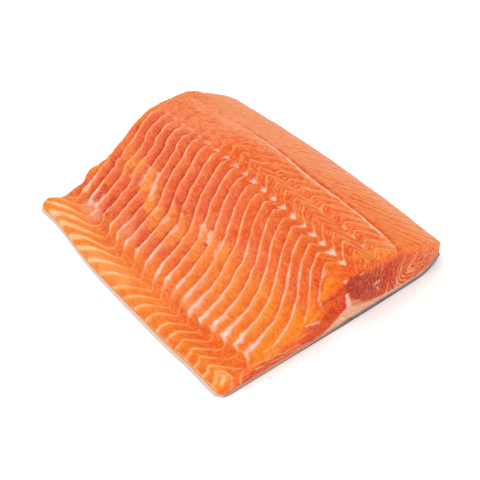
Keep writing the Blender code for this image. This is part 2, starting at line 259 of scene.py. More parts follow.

# Soft strokes of colour on the upper surface: the colour, then from x, y to x, y, half width, strength. Some
# are painted highlights and painted shade, as marked.
STROKES = (
    (PALE_PINK_AND_HIGHLIGHT, (-92, 22, -50, 28, 17, 0.3), (-52, 40, -24, 46, 12, 0.4)),
    (PALE_ORANGE_AND_HIGHLIGHT, (-92, -16, -76, -20, 7, 0.35), (-48, -26, -36, -32, 7, 0.3)),
    (PALE_PINK_AND_HIGHLIGHT, (-36, -52, -24, -58, 6, 0.35)),
    (PALE_ORANGE_AND_HIGHLIGHT, (-12, -30, 4, -32, 6, 0.25)),
    (SEAM_PINK, (-66, -60, -56, -62, 6, 0.25)),
    (FLESH_RED, (-50, 4, -38, 10, 6, 0.4), (32, 0, 42, -4, 5, 0.4), (16, 0, 24, -2, 5, 0.4)),
    (PALE_PINK_AND_HIGHLIGHT, (42, -62, 48, -64, 4, 0.3)),
    (CREAM_AND_HIGHLIGHT, (-30, -80, 0, -77, 5, 0.3)),
    (PALE_ORANGE_AND_HIGHLIGHT, (14, -36, 26, -26, 7, 0.3)),
    (PALE_PINK_AND_HIGHLIGHT, (34.5, -46, 36.5, -57, 2.2, 0.36)),
    (SEAM_PINK, (45.5, -57, 48, -60.5, 1.6, 0.35)),
    (TIP_WHITE, (54.5, -59, 55.5, -63, 1.2, 0.4)),
    (SEAM_PINK, (64, -53.5, 64.6, -59, 0.9, 0.55), (81, -56, 83, -58, 1, 0.6)),
    (FLESH_RED, (78, -8, 90, -14, 6, 0.5)),
    # Painted highlights on the flakes between the jogs, where raised seam edges catch the light
    (PALE_ORANGE_AND_HIGHLIGHT, (-75.5, -21, -74, -28, 3.6, 0.45), (-66.5, -20, -65, -28, 3.8, 0.6),
        (-57.5, -19, -52, -28, 4.2, 0.75), (-43, -30, -37, -36, 4, 0.7), (-29, -34, -24, -42, 4, 0.55),
        (-17, -34, -14, -42, 4, 0.45), (-6, -34, -4, -42, 3.4, 0.5), (4, -25, 8, -29, 2.6, 0.6),
        (14, -24.5, 17, -29, 3, 0.6), (24, -24, 27, -30, 2.6, 0.55)),
    (SEAM_PINK, (-51, -17.5, -43.5, -29.5, 1.9, 0.75), (-59.6, -18, -56.2, -28.5, 1.4, 0.65)),
    (STRIPE_CREAM, (-69, -18, -66, -28.5, 0.9, 0.6), (-77.5, -20, -75, -28, 0.8, 0.5),
        (-43, -29, -40, -32, 1.6, 0.5)),
    (SEAM_PINK, (1.2, -23, 5.6, -28.6, 1.5, 0.7), (1.8, -23, 6.5, -24, 1, 0.5),
        (9.6, -23, 13, -28.4, 1.6, 0.85), (20, -23, 24, -31, 1.3, 0.6)),
    (STRIPE_CREAM, (-31.5, -33, -29.5, -37.5, 1.2, 0.55)),
    (SEAM_PINK, (-19.6, -33, -18.8, -38, 1.2, 0.6), (-9.4, -33.5, -8.2, -39, 1.3, 0.65),
        (-85.5, -43, -81, -52.5, 1.9, 0.6), (-73, -49, -69, -57, 2, 0.5)),
    (STRIPE_CREAM, (-81, -51, -78.8, -54.5, 1.6, 0.7)),
    (SEAM_PINK, (-75.5, -45, -71.5, -55, 1.1, 0.6), (-69.5, -56.5, -66.5, -59, 1.7, 0.75),
        (-67, -48, -62, -57.5, 1, 0.7), (-64, -56, -61.5, -58, 1.5, 0.7)),
    (STRIPE_CREAM, (-58.8, -59.5, -58.6, -63, 1.6, 0.75)),
    (CREST_PINK, (37.6, 29, 39, 28, 0.6, 0.8)),
    (STRIPE_CREAM, (46.5, 27.6, 48.5, 26.6, 0.7, 0.7), (65, 28.6, 67.5, 27.6, 0.8, 0.8),
        (75, 26.8, 77.6, 25.6, 0.8, 0.8), (83, 26.2, 85.4, 24.4, 0.8, 0.7)),
    (SEAM_PINK, (84.5, -2, 85.6, -4.6, 0.9, 0.6)),
    # Dark red patches, and painted shade in the crevices under the torn flake's ledge
    (DARK_RED_AND_SHADE, (-72.5, -44, -68, -54, 2.2, 0.6), (-60, -46, -51.5, -57.5, 2.8, 0.7),
        (-80, -40, -77.5, -47, 1.6, 0.5), (-46, -62, -30, -69, 2.4, 0.3),
        (-29, -21.5, -14, -24.5, 1.3, 0.6), (12.6, -29.4, 14, -29.8, 0.9, 0.9),
        (84, -7.5, 90, -9, 1.5, 0.8), (81, 1.5, 88, 0.5, 1.2, 0.4)),
    (TEAR_ORANGE, (90.5, -16.5, 95, -25, 3, 0.85), (89, -3, 94, -12, 3, 0.9), (84, 4, 91, -3.5, 3.6, 0.75)),
    (NEAR_RED, (87.5, 12, 95, 4, 3.4, 0.85)),
    # Painted highlights on the torn flake's bulbs
    (BRIGHT_ORANGE_AND_HIGHLIGHT, (89.5, -3, 92.8, -11, 1.9, 0.7), (92.8, -18, 95.2, -24, 1.8, 0.75),
        (88, 17, 94.5, 33, 3.2, 0.5)),
    (TIP_YELLOW, (88, 41, 96, 47, 3, 0.5), (94, -28, 96, -56, 4.6, 0.7), (-93, -43, -86.5, -64, 3, 0.7),
        (-91.5, -75, -85, -76.5, 3, 0.9), (-95.5, 34, -95, 20, 2.4, 0.6),
        (-95.5, 13, -94.5, -4, 3.2, 0.85), (-93, -28, -92, -41, 3.8, 0.85)),
    (BRIGHT_ORANGE_AND_HIGHLIGHT, (88, -78, 97, -79.5, 4.6, 0.6)),
    (CREAM_AND_HIGHLIGHT, (87, -78.2, 90.5, -75.6, 0.55, 0.9), (90.5, -75.6, 97, -74.8, 0.55, 0.9),
        (87, -78.2, 90, -81.6, 0.65, 0.9), (92.6, -77.8, 94.6, -79.8, 1.5, 0.85)),
    (APEX_WHITE, (93.2, -77.8, 94.2, -79, 0.7, 0.5)),
)

# The same on the cut face, from y, z to y, z, with painted shadows under the torn shelves and in a notch, and
# painted highlights on the bulbs
CUT_STROKES = (
    (TEAR_ORANGE, (-80, 8, -79, 2, 3, 0.6)),
    (SEAM_ORANGE, (-76.2, 1.2, -75.6, 11, 0.7, 0.85), (-70.4, 1.2, -70, 8, 0.7, 0.8),
        (-70, 8, -68.4, 14.5, 0.6, 0.75), (-64.2, 14.5, -64.6, 10.5, 0.5, 0.6)),
    (TIP_YELLOW, (-58, 13, -48, 12.5, 4.6, 0.9), (-42, 15.5, -32, 16, 3.4, 0.8)),
    (CUT_SEAM, (-60, 11.5, -52, 8.4, 0.6, 0.55), (-52, 8.4, -30, 5.2, 0.6, 0.6),
        (-50, 4.8, -24, 2.4, 0.5, 0.6)),
    (SEAM_PINK, (-60, 7.2, -55, 5.8, 0.7, 0.6)),
    (CUT_SEAM, (-34, 11.5, -20, 9.5, 0.5, 0.4)),
    (TEAR_ORANGE, (-24, 17.5, -14, 17.5, 4.4, 0.85)),
    # Painted highlight on the lower torn bulb
    (BRIGHT_ORANGE_AND_HIGHLIGHT, (-24, 17.2, -17, 18.6, 2.4, 0.85)),
    (SEAM_PINK, (-26.4, 17.6, -15.2, 12.6, 0.6, 0.6)),
    # Painted shadow under the lower shelf
    (DARK_RED_AND_SHADE, (-24, 14.6, -13, 10.6, 0.9, 0.55)),
    # Painted highlight on the upper torn bulb
    (BRIGHT_ORANGE_AND_HIGHLIGHT, (-12.6, 25.5, -6, 29, 3.4, 0.6)),
    (CUT_ORANGE, (-3, 30, 2.5, 32, 2.4, 0.7)),
    (SEAM_PINK, (-15, 24.6, -13, 22.8, 0.7, 0.7)),
    # Painted shadow under the upper shelf
    (DARK_RED_AND_SHADE, (-12.6, 22.4, -6, 22.6, 1, 0.85), (-6, 22.6, 1.5, 27.2, 1, 0.8)),
    (CUT_ORANGE, (-8, 19, -1, 21, 2, 0.5)),
    # Painted shadow in the notch
    (CUT_DARK, (-3.2, 20.6, -2.4, 18.6, 0.5, 0.9)),
    (CUT_LIGHT, (0.8, 27, 2, 12.5, 1.6, 0.6)),
    (SEAM_PINK, (1, 36.5, 2.6, 30.5, 0.8, 0.85), (3.6, 22, 5, 16, 1, 0.95), (4.6, 17, 5.4, 12, 1.7, 0.9),
        (12, 32, 14, 32.8, 0.7, 0.7), (23.5, 17.5, 27.5, 18.5, 0.9, 0.65)),
    (CUT_SEAM, (26, 14, 28, 12, 0.6, 0.6), (34.4, 2.6, 35.4, 12.5, 0.6, 0.75)),
    (SEAM_PINK, (34.4, 2.6, 34.6, 5.5, 0.7, 0.6), (43.2, 3.6, 42.9, 10, 0.65, 0.9)),
    (SEAM_ORANGE, (42.9, 10, 45.2, 20, 0.55, 0.9), (45.2, 20, 48, 26, 0.5, 0.8)),
    (CUT_SEAM, (57.5, 22, 53.5, 17.5, 0.6, 0.8)),
    (SEAM_ORANGE, (53.5, 17.5, 50.6, 13.4, 0.8, 0.9), (50.6, 13.4, 52, 10.6, 0.8, 0.9)),
    (CUT_SEAM, (52, 10.6, 55.5, 10, 0.6, 0.8)),
    (SKIN_MIST, (64, 1.6, 72, 3.4, 1, 0.8), (72, 3.4, 79, 6.4, 1.7, 0.85)),
)


def ramp(low, high, at):
    """0 at low and 1 at high, with a smooth way between."""
    t = np.clip((at - low) / (high - low), 0, 1)
    return t * t * (3 - 2 * t)


def bump(middle, half, at):
    """1 at the middle, falling smoothly to 0 at half away."""
    return ramp(1, 0, np.abs(at - middle) / half)


def curve(table, column, at):
    """Smooth curve through a table whose first column rises. It never swings past the table's own values."""
    knots, values = (np.array([row[i] for row in table], float) for i in (0, column))
    rises = np.diff(values) / np.diff(knots)
    before, after = rises[:-1], rises[1:]
    steepest = 2 * np.minimum(np.abs(before), np.abs(after))
    turn = (np.sign(before) + np.sign(after)) / 2
    inner = turn * np.minimum(np.abs(before + after) / 2, steepest)
    slopes = np.concatenate([rises[:1], inner, rises[-1:]])
    at = np.clip(at, knots[0], knots[-1])
    i = np.clip(np.searchsorted(knots, at) - 1, 0, len(knots) - 2)
    step = knots[i + 1] - knots[i]
    t = (at - knots[i]) / step
    smooth = values[i] + (values[i + 1] - values[i]) * t * t * (3 - 2 * t)
    return smooth + t * (1 - t) * step * (slopes[i] * (1 - t) - slopes[i + 1] * t)


def along_fish(table, x, y):
    """A table with values at the far cut, the middle and the near cut, read at any place."""
    share = np.clip(x / LENGTH + 0.5, 0, 1)
    far, middle, near = (curve(table, column, y) for column in (1, 2, 3))
    return (
        far * (1 - share) * (1 - 2 * share)
        + middle * 4 * share * (1 - share)
        + near * share * (2 * share - 1)
    )


def noise(u, v, seed):
    """Smooth noise over a plane, from -1 to 1, with about one bump for each unit."""
    lattice = np.random.default_rng(SEED + seed).uniform(-1, 1, (97, 97))
    i, j = np.floor(u).astype(int), np.floor(v).astype(int)
    s, t = ramp(0, 1, u - i), ramp(0, 1, v - j)
    near = lattice[i % 97, j % 97] * (1 - s) + lattice[(i + 1) % 97, j % 97] * s
    far = lattice[i % 97, (j + 1) % 97] * (1 - s) + lattice[(i + 1) % 97, (j + 1) % 97] * s
    return near * (1 - t) + far * t


def linear(colour):
    """The surface colour, as linear values, that looks like this one under the scene's light."""
    value = np.array(colour) / 255
    value = np.where(value <= 0.04045, value / 12.92, ((value + 0.055) / 1.055) ** 2.4)
    return np.clip((value - SHEEN) / EXPOSURE, 0.002, 0.96)


def mix(colour, other, amount):
    return colour + (other - colour) * np.asarray(amount)[..., None]


def lay(tone, *layers):
    """Lays colours over a tone one after another, each with how much of it shows."""
    for colour, amount in layers:
        tone = mix(tone, linear(colour), amount)
    return tone


def curl(y):
    return CURL_RISE * ramp(CURL_FROM, CURL_TO, y) ** CURL_BEND


def flesh_floor(y):
    """Height of the flesh's underside, on the fat or straight on the skin."""
    return curl(y) + SKIN + curve(FAT, 1, y)


def pin_bone_x(flake):
    past = np.minimum(flake, 0) + np.maximum(flake - PIN_BONES[-1], 0)
    return np.interp(flake, PIN_BONES, PIN_BONE_X) + PAST_SPACING * past


def tip_line(flake):
    """Where the broad white tip of a flake's seam ends across the fish."""
    return np.interp(flake, SEAM_FLAKES, SEAM_BENDS[TIP_BEND][0]) + np.interp(flake, *zip(*TIP_RISES))


def seam_at(flake, y):
    """Where the seam of one flake, or a row between two seams, crosses the lines y, and its look there."""
    across = [np.interp(flake, SEAM_FLAKES, bend[0]) for bend in SEAM_BENDS]
    along = [np.interp(flake, SEAM_FLAKES, bend[1]) for bend in SEAM_BENDS]
    tip = tip_line(flake)
    along[TIP_BEND] = np.interp(tip, across, along)
    across[TIP_BEND] = tip
    run = sum(
        weight * np.interp(y + shift, across, along)
        for weight, shift in ((0.25, -CORNER_HALF), (0.5, 0), (0.25, CORNER_HALF))
    )
    x = pin_bone_x(flake) + run
    jagged = 1 + FAR_WOBBLE * ramp(9, 2, flake) * bump(-18, 34, y)
    for number, (reach, length) in enumerate(WOBBLES):
        x = x + jagged * reach * noise(flake * 6 / length, y / length, number + 46)
    near = ramp(FAR_FLAKE, NEAR_FLAKE, flake)
    width, shows = (
        np.interp(y, across, [bend[part][0] * (1 - near) + bend[part][1] * near for bend in SEAM_BENDS])
        for part in (2, 3)
    )
    return x, width, shows


def far_flakes(phase):
    """1 at the far flakes, 0 from the middle on."""
    return ramp(13, 5, phase)


def torn_back(y):
    """How far the near cut leans back for each millimetre of height."""
    return TORN_SLOPE * np.clip(1 - ((y - TORN_Y) / TORN_HALF) ** 2, 0, 1)


def near_base(y):
    return LENGTH / 2 - curve(NEAR_CUT, 1, y) - SKIN_PROUD


def near_top(y):
    """The top edge of the near cut."""
    base = near_base(y)
    height = along_fish(SECTIONS, base, y) - flesh_floor(y)
    return base - torn_back(y) * height + 0.35 * noise(y / 3.1, y * 0, 2)


def far_base(y):
    ragged = 0.3 * noise(y / 3.7, y * 0, 3) + 0.25 * noise(y / 1.1, y * 0, 35)
    return -LENGTH / 2 + curve(FAR_CUT, 1, y) + SKIN_PROUD + ragged


def edge_lines(x):
    """The belly edge and the back edge of the flesh at x."""
    belly = -WIDTH / 2 + curve(BELLY_EDGE, 1, x) + BELLY_PROUD
    back = WIDTH / 2 - curve(BACK_EDGE, 1, x) - SKIN_PROUD
    return belly, back


def crest_line(x):
    return curve(CREST_LINE, 1, x)


def top_height(x, y, phase):
    """The flesh's upper surface."""
    share = phase - np.floor(phase)
    flakes = along_fish(RELIEF, x, y) * np.interp(share, PROFILE_AT, PROFILE)
    flakes = flakes * (1 + 0.3 * noise(phase * 0.9, y / 9, 4))
    past_crest = y - crest_line(x)
    groove = np.clip(1 - np.abs(past_crest - GROOVE_PAST_CREST) / GROOVE_HALF, 0, 1)
    shown = ramp(-75, -30, x)
    crest = CREST_LIP * bump(0, 1.2, past_crest)
    lumps = 0.25 * noise(x / 9, y / 9, 5) + 0.14 * noise(x / 3.4, y / 3.4, 6)
    lumps = lumps + 0.07 * noise(x / 1.6, y / 1.6, 7)
    height = along_fish(SECTIONS, x, y) + flakes + lumps + shown * (crest - GROOVE_DEPTH * groove)
    belly, back = edge_lines(x)
    from_edge = np.minimum(y - belly, (back - y) * 0.6)
    height -= 0.9 * ramp(1.8, 0, from_edge)
    from_cut = np.minimum(near_top(y) - x, x - far_base(y))
    return height - 0.7 * ramp(1.6, 0, from_cut)


def flesh_grid():
    """Places of the top surface: rows follow the seams and columns run along the fish. What runs past a cut
    is held at the cut, and each vertex keeps the phase, its place counted in flakes."""
    flakes = np.array([k + share for k in range(FIRST_FLAKE, LAST_FLAKE) for share in FLAKE_ROWS])
    v = np.linspace(0, 1, COLUMNS)
    x = np.zeros((len(flakes), COLUMNS))
    for _ in range(GRID_ROUNDS):
        belly, back = edge_lines(x)
        y = belly + (back - belly) * v
        rows = [seam_at(flake, row) for flake, row in zip(flakes, y)]
        free, width, shows = (np.array(part) for part in zip(*rows))
        far, near = far_base(y), near_top(y)
        x = np.clip(free, far, near)
    first = (free <= far).sum(axis=0) - 1
    last = len(flakes) - (free >= near).sum(axis=0)
    phase = np.array([np.interp(x[:, c], free[:, c], flakes) for c in range(COLUMNS)]).T
    return x, y, phase, width, shows, first, last


def grid_faces(index):
    """Faces of a grid of vertex numbers, where neighbours may be one and the same vertex."""
    a, b = index[:-1, :-1].ravel(), index[1:, :-1].ravel()
    c, d = index[1:, 1:].ravel(), index[:-1, 1:].ravel()
    corners = np.stack([a, b, c, d], axis=1)
    same = corners == np.roll(corners, -1, axis=1)
    quads = corners[same.sum(axis=1) == 0].tolist()
    for face, repeated in zip(corners[same.sum(axis=1) == 1], same[same.sum(axis=1) == 1]):
        quads.append(face[~repeated].tolist())
    return quads


def mesh_piece(name, places, faces, node):
    mesh = bpy.data.meshes.new(name)
    mesh.from_pydata((np.asarray(places) * MM).tolist(), [], faces)
    mesh.validate()
    mesh.shade_smooth()
    piece = bpy.data.objects.new(name, mesh)
    bpy.context.scene.collection.objects.link(piece)
    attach(piece, "root")
    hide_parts(node)
    return piece


def add_values(piece, name, values):
    """Keeps one value, colour or vector for each vertex, under a name that the material reads."""
    values = np.asarray(values, np.float32)
    if values.ndim == 1:
        piece.data.attributes.new(name, "FLOAT", "POINT").data.foreach_set("value", values)
    elif name.endswith("tone"):
        colour = np.column_stack([values, np.ones(len(values), np.float32)])
        piece.data.attributes.new(name, "FLOAT_COLOR", "POINT").data.foreach_set("color", colour.ravel())
    else:
        piece.data.attributes.new(name, "FLOAT_VECTOR", "POINT").data.foreach_set("vector", values.ravel())


def fill(colour, like):
    return linear(colour) + 0 * like[..., None]


def from_segment(u, v, start, end):
    """Distance from a straight line between two points of a plane."""
    run = np.subtract(end, start)
    t = np.clip(((u - start[0]) * run[0] + (v - start[1]) * run[1]) / (run @ run), 0, 1)
    return np.hypot(u - start[0] - t * run[0], v - start[1] - t * run[1])


def seam_distance(x, y, phase):
    """Distance from the nearest seam of the upper surface, stretched on the valley's side to sharpen it."""
    spacing = np.gradient(x, axis=0) / np.maximum(np.gradient(phase, axis=0), 1e-6)
    rise = np.gradient(x, axis=1) / np.maximum(np.gradient(y, axis=1), 1e-6)
    spacing = np.clip(spacing, 4, 14) / np.sqrt(1 + np.clip(rise, -4, 4) ** 2)
    from_seam = phase - np.round(phase)
    return np.abs(from_seam) * np.where(from_seam < 0, 1.5, 0.9) * spacing


def paint(tone, u, v, strokes):
    """Lays soft ragged strokes over the colours of a surface with the places u, v."""
    ragged = 0.35 * noise(u / 1.8, v / 1.8, 15)
    for colour, *group in strokes:
        for u0, v0, u1, v1, half, strength in group:
            away = from_segment(u, v, (u0, v0), (u1, v1)) / half + ragged
            tone = lay(tone, (colour, strength * ramp(1.25, 0.45, away)))
    return tone


def apex_spots(x, y, phase):
    """The white spots over the pin bones, from 0 to 1."""
    flake = np.round(phase)
    apex_y, run = (np.interp(flake, SEAM_FLAKES, row) for row in SEAM_BENDS[APEX_BEND][:2])
    length = np.interp(flake, *zip(*APEX_SPOTS)) * (1 + 0.3 * noise(flake * 2.7, flake, 8))
    ragged = 1.1 * noise(x / 0.9, y / 0.9, 23)
    back = pin_bone_x(flake) + run + 0.4 - x + ragged
    inside = ramp(0.6, -0.3, np.abs(y - apex_y) - 0.4 * back + 0.6 * ragged)
    inside = inside * ramp(0, 0.6, back) * ramp(length, 0.65 * length, back)
    return inside * (flake < TORN_FLAKE)


def flake_tone(x, y, phase):
    """Colour of the flakes and the loin between the seams, with painted shade and painted highlights on the
    flake relief.
    """
    share = phase - np.floor(phase)
    far, to_near = far_flakes(phase), ramp(25, 50, x)
    wander = 4 * noise(x / 13, y / 13, 10) + 1.5 * noise(x / 4, y / 4, 11)
    before_loin = ramp(16, 8, y)
    pink = np.maximum(bump(-9, 24, y + wander), far * ramp(-66, -50, y) * before_loin)
    cloud = noise(x / 7, y / 6, 12) + 0.5 * noise(x / 2.2, y / 2, 25)
    patches = ramp(-0.45, 0.35, cloud + 0.9 * far - 0.2)

    # Flakes get painted shade in the valley before a seam and a painted highlight on the raised side past it
    relief = np.clip(along_fish(RELIEF, x, y) + 0.15, 0, 1)
    flat = 1 - 0.65 * bump(-69, 10, y)
    broad_shade = ramp(0.3, 0.88, share) * (0.28 + 0.34 * far)
    gap_shade = ramp(0.72 - 0.08 * far, 0.88, share) * (0.42 + 0.55 * far)
    shade = np.maximum(broad_shade, gap_shade) * ramp(1, 0.955, share) * relief * flat
    broad = bump(-36, 20, y + wander) * (1 - far)
    ridge_highlight = ramp(0.38 + 0.14 * broad, 0.04, share) * ramp(14, 4, y) * flat
    ridge_highlight = ridge_highlight * (0.4 + 0.1 * far + 0.45 * broad) * (1 + 0.4 * noise(x / 3, y / 3, 27))
    lit = ramp(0.3, 0.04, share) * far * before_loin * ramp(-62, -54, y)
    lit = 0.85 * lit * (1 + 0.5 * noise(x / 2.5, y / 3.5, 38))
    low_flakes = ramp(-71, -77, y)

    patch = noise(x / 4.5, y / 2.6, 32) + 0.5 * noise(x / 1.7, y / 1.2, 33)
    rough = 1 + 1.1 * bump(31, 17, y)
    return lay(
        fill(FLESH_ORANGE, x),
        (FLESH_RED, ramp(-30, -14, y + wander)),
        (LOIN, ramp(9, 17, y)),
        (FLESH_PINK, 0.95 * pink * patches),
        (FLESH_RED, (0.45 + 0.5 * to_near) * bump(-6, 8, y - tip_line(phase))),
        (NEAR_RED, 0.6 * to_near * ramp(-62, -69, y)),
        (NEAR_RED, 0.8 * ramp(44, 76, x) * bump(2, 26, y)),
        (DARK_RED_AND_SHADE, shade * (1 + 0.25 * noise(x / 2.5, y / 2.5, 26))),
        (DARK_RED_AND_SHADE, 0.16 * rough * ramp(0.1, 0.9, patch)),
        (PALE_ORANGE_AND_HIGHLIGHT, 0.24 * rough * ramp(-0.1, -0.9, patch)),
        (HIGHLIGHT_PEACH, ridge_highlight),
        (PALE_PINK_AND_HIGHLIGHT, np.clip(lit, 0, 1)),
        # On the low belly flakes, painted shade before each seam and a painted highlight past it
        (FLESH_RED, 0.55 * low_flakes * ramp(0.4, 0.85, share) * ramp(1, 0.95, share)),
        (CREAM_AND_HIGHLIGHT, 0.3 * low_flakes * ramp(0.32, 0.02, share)),
        # Painted highlight just past the seams
        (PALE_ORANGE_AND_HIGHLIGHT, 0.4 * bump(6, 5, y) * bump(0.12, 0.3, share) * (1 - far)),
        (FLESH_ORANGE, 0.4 * ramp(80, 94, x) * ramp(18, 26, y)),
    )


def top_tone(x, y, phase):
    """Colour of the whole upper surface between the seams, with painted shade in the groove behind the crest,
    and the strokes' painted highlights and shade.
    """
    far, clear = far_flakes(phase), ramp(-75, -30, x)
    past_crest = y - crest_line(x)
    spread = np.interp(x, (-80, -40, -15, 20), (4.5, 3.6, 2.4, 1.6))
    band = np.abs(past_crest + 0.8 * spread) / spread + 0.4 * noise(x / 3, y / 3, 9)
    band = ramp(1, 0.2, band)
    streak = noise(x / 5, past_crest / 1.2, 51) + 0.6 * noise(x / 1.8, past_crest / 0.9, 52)
    paler = 5 * noise(x / 9, y / 9, 13) + 20 * ramp(70, -40, x)
    dabs = ramp(0, 0.7, noise(x / 2.1, y / 1.6, 39)) * bump(GROOVE_PAST_CREST + 2, 4.2, past_crest)
    tone = lay(
        flake_tone(x, y, phase),
        (CREST_PINK, 0.65 * band),
        (LOIN, 0.6 * band * ramp(0, 0.8, streak)),
        (APEX_WHITE, 0.3 * band * ramp(-0.2, -0.9, streak)),
        (BACK_ORANGE, ramp(0.5, 2, past_crest)),
        (BACK_PINK, ramp(10, 34, past_crest + paler)),
        # Painted shade in the groove behind the crest
        (GROOVE_SHADE, 0.9 * clear * bump(GROOVE_PAST_CREST, 2.2, past_crest)),
        (DARK_RED_AND_SHADE, 0.6 * clear * dabs),
    )
    tone = tone * (1 + ramp(36, 78, x)[..., None] * (np.array(NEAR_TINT) - 1))
    belly, back = edge_lines(x)
    from_belly = y - belly + 1.2 * noise(x / 5, y / 5, 14)
    tone = lay(
        tone,
        (TIP_YELLOW, 0.7 * far * ramp(15, 4, from_belly)),
        (TIP_YELLOW, 0.55 * (1 - far) * bump(4.5, 4, from_belly)),
    )
    tone = paint(tone, x, y, STROKES)
    spots = apex_spots(x, y, phase) * (0.95 - 0.35 * far)
    tone = mix(tone, lay(fill(APEX_WHITE, x), (SEAM_PINK, far)), spots)
    rim = ramp(0.7, 0, y - belly + 0.5 * noise(x / 3, y / 3, 16))
    from_back = back - y + 3 * noise(x / 8, y / 6, 50)
    return lay(
        tone,
        (RIM, 0.5 * rim * ramp(-30, 30, x)),
        (CREST_PINK, 0.6 * ramp(20, 8, from_back)),
    )


def uneven_seams(x, y, phase, width, shows):
    """Half width and strength of the seams, varied along them and weaker where the fish hardly shows them."""
    far = far_flakes(phase)
    uneven = 1 - 0.5 * (1 - far) * bump(-46, 24, y)
    wider = 0.4 * noise(phase * 1.7, y / 4, 17) + 0.25 * noise(phase * 3.1, y / 1.5, 36)
    clearer = 0.4 * noise(phase * 2.3, y / 2.6, 18) + 0.25 * noise(phase * 3.7, y / 1.1, 37)
    at_torn = ramp(72, 82, x) * bump(-10, 26, y)
    shows = shows * (0.84 + uneven * clearer) * ramp(0.2, 1.6, near_top(y) - x)
    for strength, place in (
        (0.35, far * bump(-18, 36, y)),
        (0.85, bump(GROOVE_PAST_CREST + 0.6, 2.4, y - crest_line(x))),
        (0.65, ramp(0.1, 0.5, noise(x / 3.2, y / 2.1, 49)) * bump(26, 13, y)),
        (0.85, ramp(TORN_FLAKE - 0.5, TORN_FLAKE - 0.2, phase) * bump(12, 9, y)),
        (0.3, at_torn),
        (1, ramp(20.2, 20.6, phase) * ramp(-20, -14, y) * ramp(8, 6, y)),
    ):
        shows = shows * (1 - strength * place)
    return width * (1 + uneven * wider) * (1 - 0.25 * at_torn), shows


def top_look(x, y, phase, width, shows):
    """Colour, seam distance, seam half width, seam strength and seam colour of the upper surface, the count,
    strength and softness of its finer lines, and how far its fibres are coarse and run along the seams."""
    seam = seam_distance(x, y, phase)
    width, shows = uneven_seams(x, y, phase, width, shows)
    far, past_tip = ramp(11, 5, phase), y - tip_line(phase)
    past_crest = y - crest_line(x)
    from_crest = past_crest + 0.25 * noise(x / 4, 0 * y, 19) + 0.22 * noise(x / 1.5, 0 * y, 45)
    from_crest = np.abs(from_crest)
    crest = 0.6 * ramp(-58, -44, x) + 0.4 * ramp(-30, -12, x)
    crest = crest * ramp(1.4, 1.1, from_crest)
    belly, _ = edge_lines(x)
    seam_tone = lay(
        fill(SEAM_ORANGE, x),
        (STRIPE_CREAM, far),
        (SEAM_PINK, ramp(-1.5, 1, past_tip)),
        (TIP_WHITE, 0.8 * bump(3.5, 9, past_tip)),
        (STRIPE_CREAM, 0.35 * ramp(-34, -22, y)),
        (SEAM_ORANGE, 0.9 * ramp(11, 16, y)),
        (CREAM_AND_HIGHLIGHT, ramp(7.5, 5, y - belly) * (1 - far)),
        (APEX_WHITE, 0.8 * crest),
    )
    at_crest = (crest > 0.01) & (from_crest <= seam)
    seam = np.where(at_crest, from_crest, seam)
    width = np.where(at_crest, 0.62 + 0.25 * noise(x / 3, 0 * y, 28), width)
    shows = np.where(at_crest, (0.85 + 0.3 * noise(x / 5, 0 * y, 29)) * crest, shows)

    in_back = ramp(2.5, 6, past_crest)
    in_loin = bump(30, 18, y) * (1 - in_back) * ramp(-50, 10, x)
    count = phase * (BACK_LINES * in_back + LOIN_LINES * (1 - in_back))
    in_back = in_back * (1 - 0.35 * ramp(70, 82, y))
    count = count + 0.4 * in_back * noise(x / 6, y / 5, 42)
    outer = ramp(10, 34, past_crest)
    broken = 0.65 + 0.6 * noise(x / 5, y / 4, 20) + 0.45 * noise(x / 2.2, y / 1.8, 41)
    count_shows = (in_back * (0.95 - 0.25 * outer) + 0.36 * in_loin) * np.clip(broken, 0, 1)
    loin = ramp(9, 14, y)
    tone, shows = top_tone(x, y, phase), np.clip(shows, 0, 1)
    return tone, seam, width, shows, seam_tone, count, count_shows, in_back, loin


